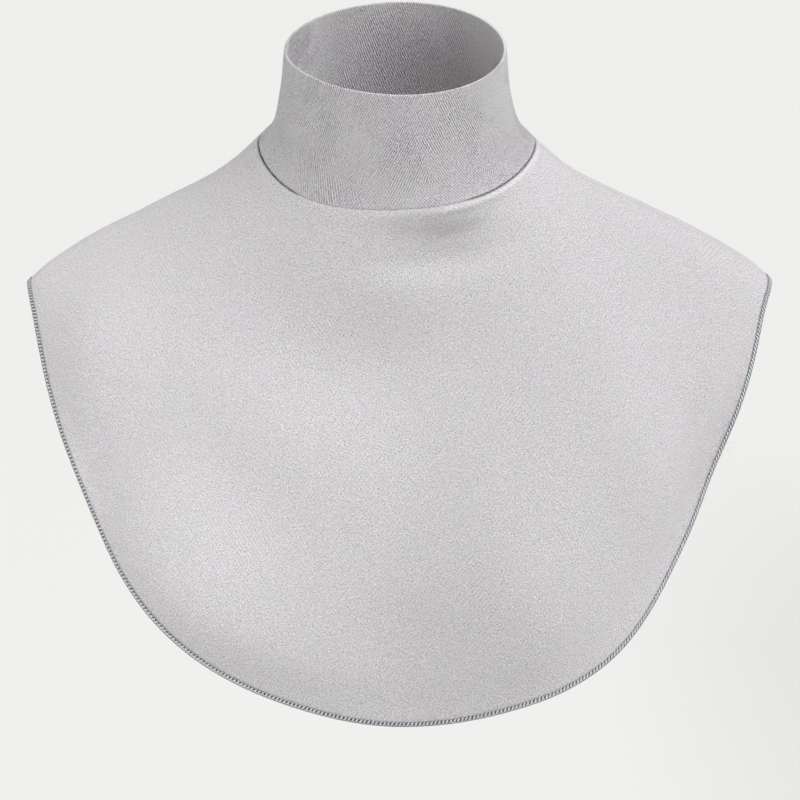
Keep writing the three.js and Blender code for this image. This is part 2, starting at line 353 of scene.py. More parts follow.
# Overlock: places of the chain as shares of the edge's width and thickness, the needle thread's share of the
# looper's thickness, and how far a flat thread leans outwards round the edge.
CHAIN_OUT = 0.42
CHAIN_OVER = 0.3
NEEDLE_SHARE = 0.7
THREAD_LEAN = 0.35

# Stripes of the knit: the shares of across and down that they run along, and their period in metres.
WALES = (1.0, 0.0, 0.00156)
COURSES = (0.0, 1.0, 0.00148)
FALLING = (0.82, 0.57, 0.0017)
RISING = (0.8, -0.6, 0.00175)
RIGHT_RIBS = (0.89, -0.46, 0.00118)
LEFT_RIBS = (0.9, 0.43, 0.00122)
CROSS_RIBS = (0.5, 0.86, 0.00165)

# The collar's ribs change their lean so often round its radius, from a place beside the middle.
LEANS_ROUND = 5.0
COLLAR_RADIUS = 0.0616
LEAN_SHIFT = 0.003

# Shares of red, green and blue of the tints that the knit drifts between.
BIB_WARMER = (1.012, 0.99, 1.008)
BIB_GREYER = (0.99, 1.006, 0.988)
BIB_FLECKED = (1.04, 0.95, 0.98)
COLLAR_GREYER = (0.992, 1.008, 0.982)
PLY_PITCH = 0.0011

# The floor, in metres: its painted shade under the dickey fades over these distances from the neck, and a
# painted shadow behind the wearer's left darkens towards the left and the front over these.
FLOOR_SHADE_FADES = (0.6, 1.7)
SHADOW_LEFT = (0.24, 0.54)
SHADOW_BACK = (3.1, 2.2)
SHADOW_DEPTH = 0.11

# Places that the lights shine from, and what the side light faces.
KEY_FROM = (0.84, -0.43, 0.93)
BACK_FROM = (-0.3, 0.7, 1.0)
SIDE_FROM = (-0.95, -0.55, 0.08)
SIDE_AT = (-0.1, -0.05, -0.15)
PANEL_SIDE = 0.5
SUN_DISTANCE = 3


def smoothstep(value, low, high):
    """0 below low, 1 above high, and a smooth cubic between them."""
    share = np.clip((value - low) / (high - low), 0, 1)
    return share * share * (3 - 2 * share)


def unit(vectors):
    """Vectors of length one."""
    return vectors / np.linalg.norm(vectors, axis=-1, keepdims=True)


def degrees_from(angle, middle):
    """How far angles lie from a middle in degrees, between -180 and 180."""
    turn = angle - math.radians(middle)
    return np.degrees(np.arctan2(np.sin(turn), np.cos(turn)))


def bell(away, width):
    """1 in the middle, and falling away smoothly on both sides."""
    return np.exp(-((away / width) ** 2))


def curve_through(values, t):
    """A smooth curve through evenly spaced values at a share t of the way: cubic Hermite pieces whose
    slopes are half the difference of the neighbours, and a straight line past either end."""
    last = len(values) - 1
    slopes = np.gradient(values)
    held = np.clip(t, 0, 1)
    place = held * last
    i = np.minimum(np.floor(place).astype(int), last - 1)
    f = place - i
    smooth = (
        values[i] * (2 * f**3 - 3 * f**2 + 1)
        + slopes[i] * (f**3 - 2 * f**2 + f)
        + values[i + 1] * (3 * f**2 - 2 * f**3)
        + slopes[i + 1] * (f**3 - f**2)
    )
    end_slope = np.where(t > 1, slopes[-1], slopes[0]) * last
    return smooth + end_slope * (t - held)


def section_point(sections, start, end, angle, t):
    """A point of the cloth's outer face without its folds. Each extreme of the section is a share of the
    way from the start ring to the end ring. Round the neck, x is a sine squared off by the fullness, and
    y and z are a constant, a cosine and a squared cosine that pass through side, front and back."""
    section = {}
    for name in start:
        column = name if name in sections else "askew"
        share = curve_through(sections[column], t)
        section[name] = start[name] + (end[name] - start[name]) * share
    fullness = curve_through(sections["fullness"], t)
    s = np.sin(angle)
    c = np.cos(angle)
    twice = np.sin(2 * angle)

    def through(side, front, back):
        return side + (front - back) / 2 * c + ((front + back) / 2 - side) * c * c

    x = section["half"] * s * np.sqrt(1 + fullness * c**4) + section["sway"] + section["swing"] * c * c
    y = through(section["side_y"], section["front_y"], section["back_y"])
    z = through(section["side_z"], section["front_z"], section["back_z"])
    z = z - section["sag"] * twice**2 + section["skew"] * twice + section["slant"] * s
    return np.stack(np.broadcast_arrays(x, y, z), -1)


def mounds(folds, angle, t):
    """The sum of bell-shaped mounds in angle and in share of the way, flat at the seam."""
    total = np.zeros(np.broadcast(angle, t).shape)
    for middle, spread, along, reach, height in rows_of(folds):
        turn = degrees_from(angle, middle)
        total = total + height * np.exp(-((turn / spread) ** 2) - ((t - along) / reach) ** 2)
    return total * smoothstep(t, 0, FLAT_AT_SEAM)


def creases_on(chart, angle, t, creases):
    """The sum of long folds: each is a bell across a bowed line between two places, fading to its ends."""
    total = np.zeros(chart.shape[:2])

    def place(degrees, share):
        miss = np.radians(degrees_from(angle, degrees)) ** 2 + (t - share) ** 2
        return chart.reshape(-1, 2)[miss.argmin()]

    for row in rows_of(creases):
        first = place(*row[:2])
        second = place(*row[2:4])
        bow, width, height = (value * MILLIMETRE for value in row[4:])
        line = second - first
        span = np.linalg.norm(line)
        along = (chart - first) @ line / span**2
        aside = (chart - first) @ np.array([-line[1], line[0]]) / span
        held = np.clip(along, 0, 1)
        fade = 4 * held * (1 - held)
        total = total + height * fade * bell(aside - bow * fade, width)
    return total


def unevenness(points, height, seed, longest=0.11, shortest=0.022, count=14):
    """A slow waviness of the cloth: plane waves in seeded directions, each as high as it is long."""
    random = np.random.default_rng(seed)
    lengths = np.geomspace(longest, shortest, count)
    directions = unit(random.normal(size=(count, 3)))
    starts = random.uniform(0, 2 * math.pi, count)
    total = np.zeros(points.shape[:-1])
    for wave, direction, start in zip(lengths, directions, starts):
        total = total + wave / longest * np.sin(2 * math.pi * (points @ direction) / wave + start)
    return height * total / math.sqrt(count)


def run_of(path, closed=False):
    """Lengths from the start of a path to each of its points, and on to its start where it is closed."""
    ends = path[:1] if closed else path[:0]
    steps = np.linalg.norm(np.diff(np.concatenate([path, ends]), axis=0), axis=-1)
    return np.concatenate([np.zeros_like(steps[:1]), np.cumsum(steps, axis=0)])


def unrolled(points, middle, apex):
    """Flat places of a grid of points, as a cone unrolls: the length down each column is the distance from
    a circle of radius apex, and the length round each row, from the middle column, bends along it."""
    across = run_of(points.swapaxes(0, 1)).T
    across = across - across[:, middle : middle + 1]
    reach = apex + run_of(points)
    turn = across / reach
    return np.stack([reach * np.sin(turn), apex - reach * np.cos(turn)], -1)


def rings(sizes):
    """The neckline, the collar's rim and the hem, each by its extremes and by how it bends between them."""
    plain = {"sag": 0.0, "skew": 0.0, "sway": 0.0, "swing": 0.0, "slant": 0.0}
    neckline = plain | {
        "half": sizes.neck_span / 2, "side_y": 0.0, "side_z": 0.0,
        "front_y": -sizes.neck_front, "front_z": -sizes.neck_dip,
        "back_y": sizes.neck_back, "back_z": sizes.neck_rise,
        "sag": sizes.neck_sag, "skew": sizes.neck_skew,
    }
    rim = plain | {
        "half": sizes.rim_span / 2, "side_y": -sizes.rim_lean, "side_z": sizes.rim_height,
        "front_y": -sizes.rim_lean - sizes.rim_depth / 2, "front_z": sizes.rim_height - sizes.rim_tilt,
        "back_y": -sizes.rim_lean + sizes.rim_depth / 2, "back_z": sizes.rim_height + sizes.rim_tilt,
        "skew": -sizes.rim_skew, "sway": -sizes.rim_sway,
    }
    hem = plain | {
        "half": sizes.tip_span / 2, "side_y": 0.0, "side_z": -sizes.shoulder_fall,
        "front_y": -sizes.front_reach, "front_z": -sizes.front_length,
        "back_y": sizes.back_reach, "back_z": -sizes.back_length,
        "sway": sizes.hem_sway, "swing": sizes.hem_swing, "slant": sizes.hem_slant,
    }
    return neckline, rim, hem


class Drape:
    """A grid of places on hung cloth: its outer face, the directions there and its flat layout."""

    def __init__(self, sections, start, end, facing, angle, t):
        step = 1e-3
        self.angle, self.t = np.broadcast_arrays(angle, t)
        self.base = section_point(sections, start, end, angle, t)
        after = section_point(sections, start, end, angle, t + step)
        before = section_point(sections, start, end, angle, t - step)
        left = section_point(sections, start, end, angle + step, t)
        right = section_point(sections, start, end, angle - step, t)
        self.onward = unit(after - before)
        self.per_way = np.linalg.norm(after - before, axis=-1) / (2 * step)
        self.per_radian = np.linalg.norm(left - right, axis=-1) / (2 * step)
        self.outward = unit(np.cross(left - right, after - before)) * facing
        self.relief = np.zeros(self.angle.shape)

    def layer(self, depth):
        """The grid of points that lies a depth inside the outer face."""
        return self.base + self.outward * (self.relief - depth)[..., None]


def nudge_at(angle):
    """How far the hem is let down at an angle, in metres."""
    total = np.zeros(np.shape(angle))
    for middle, spread, fall in rows_of(HEM_NUDGES):
        total = total + fall * MILLIMETRE * bell(degrees_from(angle, middle), spread)
    return total


def places_down(count, fine_rows, fine):
    """Shares from 0 to 1 that lie close together over the first fine share and evenly after it."""
    near = np.linspace(0, fine, fine_rows, endpoint=False)
    return np.concatenate([near, np.linspace(fine, 1, count - fine_rows)])


def on_bibs(sizes, angle, t):
    """A grid of places on the plain bibs, without their folds."""
    neckline, _, hem = rings(sizes)
    return Drape(BIB_SECTIONS, neckline, hem, -1, angle, t)


def bib_relief(sizes, cloth, drape):
    """Height of the bibs' folds, rolls and unevenness over the plain form."""
    from_neck = drape.t * drape.per_way
    slow = unevenness(drape.base, cloth.sway, BIB_SWAY_SEED) * smoothstep(from_neck, 0, 0.03)
    return sizes.relief * mounds(BIB_FOLDS, drape.angle, drape.t) + slow + rolls(drape.angle, from_neck)


def bib_drape(sizes, cloth, stage, middle):
    """The front or the back bib: rows from the neckline to the hem and columns between the two shoulder
    seams. Past the hem two more rows carry the cloth under the overlock stitches."""
    rows = places_down(144, fine_rows=16, fine=0.045)
    cloth_rows = len(rows)
    side = on_bibs(sizes, np.full(cloth_rows, QUARTER), rows)
    half_cols = places_down(stage.samples_across // 2, fine_rows=7, fine=0.03)
    cols = np.concatenate([half_cols - 1, 1 - half_cols[-2::-1]])
    cut = QUARTER - cloth.seam_gap / 2 / side.per_radian
    angle = middle + cols[None, :] * cut[:, None]
    plain = on_bibs(sizes, angle, rows[:, None] + 0 * angle)
    start = cloth.seam_gap / 2 / plain.per_way[:1]
    reach = 1 + nudge_at(angle[-1:]) / plain.per_way[-1:]
    t = np.maximum(rows[:, None] * reach, start)
    margin = (sizes.gap + UNDER_EDGE * cloth.edge_width) / plain.per_way[-1:]
    t = np.concatenate([t, t[-1:] + margin / 2, t[-1:] + margin], axis=0)
    angle = np.concatenate([angle, angle[-1:], angle[-1:]], axis=0)
    drape = on_bibs(sizes, angle, t)
    drape.hem_row = cloth_rows - 1
    drape.chart = unrolled(drape.base, angle.shape[1] // 2, BIB_APEX)
    creases = FRONT_CREASES if middle == FRONT else NO_CREASES
    from_neck = drape.t * drape.per_way
    from_shoulder = np.abs(QUARTER - np.abs(angle - middle)) * drape.per_radian
    drape.relief = (
        bib_relief(sizes, cloth, drape)
        + creases_on(drape.chart, angle, drape.t, creases)
        + puckers(cloth, angle, from_neck, BIB_PUCKER_SEED)
        - cloth.groove_depth * seam_line(cloth, angle, from_neck)
        - cloth.shoulder_groove * shoulder_line(cloth, angle, drape.t, from_shoulder)
    )
    under = smoothstep(drape.t, t[cloth_rows - 1], t[cloth_rows - 1] + margin / 2)
    drape.relief = drape.relief - PRESSED * cloth.layer * under
    # Painted shade in the seam grooves, and painted shadow on the cloth under the overlock stitches.
    drape.tuck = np.maximum.reduce([
        seam_line(cloth, angle, from_neck),
        shoulder_line(cloth, angle, drape.t, from_shoulder),
        under,
    ])
    # On the front, painted shade in the hollow under the neckline and a painted highlight on the roll over
    # the turnings.
    if middle == FRONT:
        drape.tuck = drape.tuck + HOLLOW_SHADE["shade"] * hollow_shade(angle, from_neck)
        drape.tuck = drape.tuck - ROLL_HIGHLIGHT["bib"] * roll_highlight(angle, from_neck)
    return drape


def rolls(angle, from_seam):
    """The sum of rolls along the neckline seam: each is a bell in angle and in distance from the seam."""
    total = 0.0
    for middle, spread, distance, width, height in rows_of(SEAM_ROLLS):
        turn = np.degrees(angle) - middle
        away = (from_seam / MILLIMETRE - distance) / width
        total = total + height * MILLIMETRE * np.exp(-((turn / spread) ** 2) - away**2)
    return total


def seam_line(cloth, angle, from_seam):
    """How far the cloth is drawn in beside the neckline seam, with painted shade in its groove: a bell across
    it, gone where the front is taut.
    """
    turn = degrees_from(angle, 0)
    taut = 1 - smoothstep(turn, *TAUT["left"]) - smoothstep(-turn, *TAUT["right"])
    return (1 - TAUT["share"] * taut) * bell(from_seam, cloth.groove_width)


def roll_highlight(angle, from_seam):
    """How much painted highlight the cloth gets where it rolls over the turnings at the wearer's front left:
    a bell across the roll, in millimetres from the seam."""
    turn = np.degrees(angle)
    along = smoothstep(turn, *ROLL_HIGHLIGHT["start"]) * (1 - smoothstep(turn, *ROLL_HIGHLIGHT["end"]))
    return along * bell(from_seam / MILLIMETRE - ROLL_HIGHLIGHT["distance"], ROLL_HIGHLIGHT["width"])


def hollow_shade(angle, from_seam):
    """How much painted shade the cloth gets in the hollow under the front of the neckline: from 0 to 1."""
    away = from_seam / MILLIMETRE
    below = smoothstep(away, *HOLLOW_SHADE["start"]) * (1 - smoothstep(away, *HOLLOW_SHADE["end"]))
    return bell(np.degrees(angle) - HOLLOW_SHADE["angle"], HOLLOW_SHADE["spread"]) * below


def shoulder_line(cloth, angle, t, from_seam):
    """How far the cloth is drawn in beside a shoulder seam, with painted shade in its groove: a bell across
    it, strong near the neck at the wearer's left and faint elsewhere."""
    near_neck = 1 - smoothstep(t, *SHOULDER_FADE)
    strength = FAINT_SEAM + (1 - FAINT_SEAM) * near_neck * (np.sin(angle) > 0)
    return strength * bell(from_seam, cloth.groove_width)


def puckers(cloth, angle, from_seam, seed):
    """Small gathers across a seam: a sine round the neck of uneven pace that fades within a centimetre."""
    random = np.random.default_rng(seed)
    pace = sum(
        random.uniform(0.5, 1) * np.sin(k * angle + random.uniform(0, 2 * math.pi)) for k in PUCKER_WAVES
    )
    gathers = np.sin(PUCKERS_ROUND * angle + PUCKER_WANDER * pace)
    return cloth.pucker * gathers * np.exp(-from_seam / PUCKER_REACH)


def collar_drape(sizes, cloth):
    """The collar's outer face: rows from the seam to just below the fold, columns all round."""
    neckline, rim, _ = rings(sizes)
    angle = np.linspace(-math.pi, math.pi, COLLAR_COLUMNS, endpoint=False)[None, :]
    rows = places_down(46, fine_rows=9, fine=0.05)[:, None]
    plain = Drape(COLLAR_SECTIONS, neckline, rim, 1, angle, rows)
    wall = 2 * cloth.layer + cloth.fold_gap
    low = cloth.seam_gap / 2 / plain.per_way[:1]
    high = 1 - wall / 2 / plain.per_way[-1:]
    t = low + (high - low) * rows
    drape = Drape(COLLAR_SECTIONS, neckline, rim, 1, angle, t)
    drape.girth = np.linalg.norm(np.diff(drape.base, axis=1, append=drape.base[:, :1]), axis=-1).sum(1)
    drape.height = np.linalg.norm(np.diff(drape.base, axis=0), axis=-1).sum(0).mean()
    from_neck = drape.t * drape.per_way
    drape.relief = (
        sizes.relief * mounds(COLLAR_FOLDS, drape.angle, drape.t)
        + unevenness(drape.base, COLLAR_SWAY * cloth.sway, COLLAR_SWAY_SEED) * smoothstep(from_neck, 0, 0.02)
        + puckers(cloth, drape.angle, from_neck, COLLAR_PUCKER_SEED)
        - cloth.groove_depth * seam_line(cloth, drape.angle, from_neck)
    )
    # Painted shade in the seam's groove, and a painted highlight on the roll at the front left.
    drape.tuck = seam_line(cloth, drape.angle, from_neck)
    drape.tuck = drape.tuck - ROLL_HIGHLIGHT["collar"] * roll_highlight(drape.angle, from_neck)
    return drape


def grid_faces(rows, cols, wrap_rows, wrap_cols):
    """Quads over a grid of vertices, row by row, with the last row or column joined to the first."""
    down = np.arange(rows + wrap_rows)
    along = np.arange(cols + wrap_cols)
    index = (down[:, None] % rows) * cols + along[None, :] % cols
    return np.stack([index[:-1, :-1], index[:-1, 1:], index[1:, 1:], index[1:, :-1]], -1).reshape(-1, 4)


def corner_values(values):
    """The values of a grid at the corners of its quads, where the grid already holds its wrapped ends."""
    rows = values.shape[0]
    cols = values.shape[1]
    corners = grid_faces(rows, cols, False, False)
    return values.reshape(rows * cols, -1)[corners]


def volume(points, quads):
    """The signed volume inside a closed mesh of quads."""
    a, b, c, d = (points[quads[:, k]] for k in range(4))
    return (np.cross(b - a, c - a) * a).sum() / 6 + (np.cross(c - a, d - a) * a).sum() / 6


def new_piece(name, points, quads, uv, material, tuck=None):
    """A mesh object with smooth outward faces, the flat layout as its UV map, and its painted shade and
    highlight.
    """
    if volume(points, quads) < 0:
        quads = quads[:, ::-1]
        uv = uv[:, ::-1]
    mesh = bpy.data.meshes.new(name)
    mesh.vertices.add(len(points))
    mesh.vertices.foreach_set("co", points.astype(np.float32).ravel())
    mesh.loops.add(4 * len(quads))
    mesh.loops.foreach_set("vertex_index", quads.astype(np.int32).ravel())
    mesh.polygons.add(len(quads))
    mesh.polygons.foreach_set("loop_start", np.arange(0, 4 * len(quads), 4, dtype=np.int32))
    mesh.update(calc_edges=True)
    layer = mesh.uv_layers.new(name="cloth")
    layer.uv.foreach_set("vector", uv.astype(np.float32).ravel())
    # The mesh's painted shade, and painted highlight where negative, for its material to read.
    shade = mesh.attributes.new("tuck", "FLOAT", "POINT")
    shade.data.foreach_set("value", (np.zeros(len(points)) if tuck is None else tuck).astype(np.float32))
    mesh.shade_smooth()
    mesh.set_sharp_from_angle(angle=SHARP_ANGLE)
    if mesh.validate():
        raise RuntimeError(f"{name}: the mesh has faulty faces")
    piece = bpy.data.objects.new(name, mesh)
    bpy.context.scene.collection.objects.link(piece)
    piece.data.materials.append(material)
    return piece


def closed_sheet(name, outer, inner, chart, material, tuck):
    """A layer of cloth between two grids of points, closed along its four edges."""
    rows, cols = outer.shape[:2]
    count = rows * cols
    index = np.arange(count).reshape(rows, cols)
    face = grid_faces(rows, cols, False, False)

    def rim(edge):
        return np.stack([edge[:-1], edge[1:], edge[1:] + count, edge[:-1] + count], -1)

    quads = np.concatenate([
        face, face[:, ::-1] + count,
        rim(index[0, ::-1]), rim(index[-1]), rim(index[:, 0]), rim(index[::-1, -1]),
    ])
    points = np.concatenate([outer.reshape(-1, 3), inner.reshape(-1, 3)])
    uv = np.concatenate([chart.reshape(-1, 2)] * 2)[quads]
    return new_piece(name, points, quads, uv, material, np.concatenate([tuck.ravel()] * 2))


def tube_grid(path, up, radius, sides, spread=1.0):
    """Rings of points round a path: each is an ellipse square to the path, started from the up direction and
    so many times wider than thick."""
    forward = unit(np.gradient(path, axis=-2))
    aside = unit(np.cross(forward, up))
    top = np.cross(aside, forward)
    turn = np.linspace(0, 2 * math.pi, sides, endpoint=False)
    radius = np.asarray(radius)[..., None, None]
    wide = spread * np.sin(turn)[:, None] * aside[..., None, :]
    round_it = np.cos(turn)[:, None] * top[..., None, :] + wide
    return path[..., None, :] + radius * round_it


def thread_mesh(path, up, radius, closed, spread=1.0):
    """One thread as points, quads and UV: a tube along its path, with its ends drawn to a point."""
    sides = THREAD_SIDES
    if not closed:
        taper = np.full(len(path), radius)
        taper[[0, -1]] = radius * POINTED_END
        radius = taper
    points = tube_grid(path, up, radius, sides, spread)
    run = run_of(path, closed)
    round_share = np.arange(sides + 1) / sides
    uv = np.stack(np.broadcast_arrays(run[:, None], round_share[None, :]), -1)
    quads = grid_faces(len(path), sides, closed, True)
    return points.reshape(-1, 3), quads, corner_values(uv)


def join(parts):
    """Several meshes as one: points, quads and UV, with each part's quads counted on from the last."""
    starts = np.cumsum([0] + [len(points) for points, _, _ in parts[:-1]])
    return (
        np.concatenate([points for points, _, _ in parts]),
        np.concatenate([quads + start for (_, quads, _), start in zip(parts, starts)]),
        np.concatenate([uv for _, _, uv in parts]),
    )


class Line:
    """A line of sewing: points with the directions up from the cloth and across it, by length."""

    def __init__(self, points, up, across, closed):
        if closed:
            points, up, across = (np.concatenate([a, a[:1]]) for a in (points, up, across))
        self.run = run_of(points)
        self.columns = np.concatenate([points, up, across], axis=1)
        self.closed = closed
        self.length = self.run[-1]

    def at(self, place):
        """Point, up and across at a length along the line."""
        place = place % self.length if self.closed else np.clip(place, 0, self.length)
        found = np.stack([np.interp(place, self.run, column) for column in self.columns.T], -1)
        return found[:, :3], unit(found[:, 3:6]), unit(found[:, 6:])


def sewn(line, stitch, pitch, width, thickness, radius, seed, spread=1.0, jitter=0.04):
    """A thread that repeats one stitch along a line. The stitch's columns are shares of its length, of half
    the edge's width and of half its thickness; the first two are a little uneven."""
    count = max(int(line.length / pitch), 2)
    pace = line.length / count if line.closed else pitch
    along = (np.arange(count)[:, None] + stitch["along"][None, :]).ravel() * pace
    random = np.random.default_rng(seed)
    along = along + random.normal(0, jitter * pace, len(along))
    across = np.tile(stitch["across"], count) + random.normal(0, jitter, len(along))
    above = np.tile(stitch["above"], count)
    point, up, aside = line.at(along)
    path = point + aside * (across * width / 2)[:, None] + up * (above * thickness / 2)[:, None]
    outside = unit(up * above[:, None] + aside * (across * THREAD_LEAN)[:, None])
    return thread_mesh(path, outside, radius, line.closed, spread)


def twisted_strand(line, pitch, out, over, radius, strand):
    """One of two strands twisted together along a line, out from it and over it: a helix of one turn a
    stitch whose radius is the strand's own."""
    count = int(line.length / pitch)
    steps = np.arange(4 * count) / 4
    turn = 2 * math.pi * (steps + 0.5 * strand)
    point, up, aside = line.at(steps * line.length / count)
    path = point + aside * (out + radius * np.cos(turn))[:, None]
    path = path + up * (over + radius * np.sin(turn))[:, None]
    return thread_mesh(path, up, radius, line.closed)


def free_ends(line, angles, thickness):
    """Short free ends of thread at the front hem: each leaves the stitches and bends along the hem."""
    share = np.linspace(0, 1, 6)[:, None]
    parts = []
    for angle, along, inward, lift, size in rows_of(LOOSE_ENDS):
        place = np.interp(math.radians(angle), angles, line.run[: len(angles)])
        point, up, across = line.at(np.array([place]))
        bend = along * share**2 * np.cross(up, across) - inward * share * across + lift * share * up
        path = point + up * thickness / 2 + bend * MILLIMETRE
        parts.append(thread_mesh(path, up + 0 * path, size / 2 * MILLIMETRE, False))
    return join(parts)


class Wire:
    """One socket of a shader. Sums on it add Math nodes."""

    def __init__(self, shader, socket):
        self.shader = shader
        self.socket = socket

    def math(self, operation, *values):
        return self.shader.node("ShaderNodeMath", {"operation": operation}, *values)

    def __add__(self, other):
        return self.math("ADD", self, other)

    def __sub__(self, other):
        return self.math("SUBTRACT", self, other)

    def __rsub__(self, other):
        return self.math("SUBTRACT", other, self)

    def __mul__(self, other):
        return self.math("MULTIPLY", self, other)

    def __truediv__(self, other):
        return self.math("DIVIDE", self, other)

    __radd__ = __add__
    __rmul__ = __mul__

    def sine(self):
        return self.math("SINE", self)

    def cosine(self):
        return self.math("COSINE", self)

    def held(self, low=0.0, high=1.0):
        """Kept between two values."""
        return self.math("MINIMUM", self.math("MAXIMUM", self, low), high)

    def ramp(self, start, end):
        """0 at a start, 1 at an end and straight between them."""
        return ((self - start) / (end - start)).held()


class Shader:
    """A material and its nodes."""

    def __init__(self, name):
        self.material = bpy.data.materials.new(name)
        self.material.use_nodes = True
        self.tree = self.material.node_tree
        self.tree.nodes.clear()
        self.surface = self.tree.nodes.new("ShaderNodeBsdfPrincipled")
        output = self.tree.nodes.new("ShaderNodeOutputMaterial")
        self.tree.links.new(self.surface.outputs["BSDF"], output.inputs["Surface"])

    def node(self, kind, settings, *places, output=0, **named):
        """A node of a type with its settings, then its inputs by place or by name, as one of its outputs."""
        node = self.tree.nodes.new(kind)
        for name, value in settings.items():
            setattr(node, name, value)
        inputs = dict(enumerate(places))
        inputs.update({name.replace("_", " "): value for name, value in named.items()})
        for key, value in inputs.items():
            self.put(node.inputs[key], value)
        return Wire(self, node.outputs[output])

    def put(self, socket, value):
        """Sets an input, or links it to a wire."""
        if isinstance(value, Wire):
            self.tree.links.new(value.socket, socket)
        else:
            socket.default_value = value

    def finished(self, **inputs):
        """The material, with inputs of its surface set or linked by name."""
        for name, value in inputs.items():
            self.put(self.surface.inputs[name.replace("_", " ")], value)
        return self.material

    def split(self, place):
        """The first two coordinates of a place."""
        return [self.node("ShaderNodeSeparateXYZ", {}, place, output=axis) for axis in (0, 1)]

    def flat_place(self):
        """The two flat coordinates of the cloth, in metres."""
        return self.split(self.node("ShaderNodeUVMap", {"uv_map": "cloth"}))

    def noise(self, fineness, detail=2.0, roughness=0.5, place=None):
        """Noise from -1 to 1 with so many cells a metre, in the object's space unless a place is given."""
        place = place or self.node("ShaderNodeTexCoord", {}, output="Object")
        value = self.node(
            "ShaderNodeTexNoise", {}, Vector=place, Scale=fineness, Detail=detail, Roughness=roughness
        )
        return (value - 0.5) * 2.0

    def slubs(self, across, down, fineness):
        """Noise on the flat cloth, drawn out along a coordinate that is made smaller."""
        return self.noise(fineness, 1.0, 0.6, self.node("ShaderNodeCombineXYZ", {}, across, down, 0.0))

    def patches(self, fineness, detail, gain, middle):
        """Soft patches of 0 and 1, from noise made stronger and shifted."""
        return (self.noise(fineness, detail) * gain + middle).held()

    def tucked(self, shade, depth):
        """A shade with the mesh's painted shade and painted highlight: darker where it paints shade, paler
        where it paints highlight.
        """
        tuck = self.node("ShaderNodeAttribute", {"attribute_name": "tuck"}, output="Fac")
        return shade * (1.0 - tuck.held(-1.0, 1.0) * depth)

    def tinted(self, tint, shade):
        """A colour made lighter and darker by a shade round 1."""
        grey = self.node("ShaderNodeCombineXYZ", {}, shade, shade, shade)
        return self.node("ShaderNodeVectorMath", {"operation": "MULTIPLY"}, tint, grey)

    def mixed(self, share, first, second):
        """A colour between two."""
        made = self.tree.nodes.new("ShaderNodeMix")
        made.data_type = "RGBA"
        for place, value in ((0, share), (6, first), (7, second)):
            self.put(made.inputs[place], (*value, 1) if isinstance(value, tuple) else value)
        return Wire(self, made.outputs[2])

    def bump(self, height, distance, strength=1.0):
        """A normal from a height, whose 1 stands for a distance in metres."""
        return self.node("ShaderNodeBump", {}, Height=height, Distance=distance, Strength=strength)


def stripes(place, way, wobble):
    """A sine over the flat cloth along a way with a period in metres, pushed about by a wobble in radians."""
    across, down, period = way
    return ((place[0] * across + place[1] * down) * (2 * math.pi / period) + wobble).sine()


def scaled(tint, shares):
    """A tint with its red, green and blue each multiplied by a share."""
    return tuple(part * share for part, share in zip(tint, shares))


def bib_knit(colours):
    """The bibs' jersey: short slubs along its wales and courses, fine stripes that drift in and out of step,
    faint lilac and grey patches with a few pink flecks, and the painted shade and painted highlight of the
    mesh."""
    shader = Shader("bib_knit")
    place = shader.flat_place()
    across, down = place
    drift = shader.noise(38.0) * 4.0
    slip = shader.noise(52.0) * 4.0
    wales = stripes(place, WALES, drift)
    courses = stripes(place, COURSES, slip)
    falling = stripes(place, FALLING, drift - slip)
    rising = stripes(place, RISING, drift + slip)
    side = shader.patches(17.0, detail=1.0, gain=1.4, middle=0.5)
    fade = shader.patches(23.0, detail=1.0, gain=1.6, middle=0.4)
    diagonals = (falling * side + rising * (1.0 - side)) * fade
    upright = shader.slubs(across, down * 0.55, fineness=1750.0)
    level = shader.slubs(across * 0.5, down, fineness=1850.0)
    grain = shader.noise(1900.0, detail=1.0, roughness=0.6)
    weave = wales * courses * 0.2 + diagonals * 0.2 + upright * 1.1 + level * 1.1 + grain * 1.2
    # Painted shade and painted highlight from the mesh darken and lighten the knit.
    shade = shader.tucked(1.0 + weave * 0.38 + shader.noise(26.0, 1.0) * 0.015, depth=0.65)
    warmth = shader.patches(60.0, detail=2.0, gain=1.0, middle=0.5)
    flecks = shader.patches(120.0, detail=1.0, gain=4.0, middle=-1.68)
    patchy = shader.mixed(warmth, scaled(colours.bib, BIB_GREYER), scaled(colours.bib, BIB_WARMER))
    tint = shader.mixed(flecks, patchy, scaled(colours.bib, BIB_FLECKED))
    return shader.finished(
        Base_Color=shader.tinted(tint, shade), Roughness=0.86, Specular_IOR_Level=0.25,
        Sheen_Weight=0.28, Sheen_Roughness=0.5, Normal=shader.bump(weave, distance=0.00016),
    )


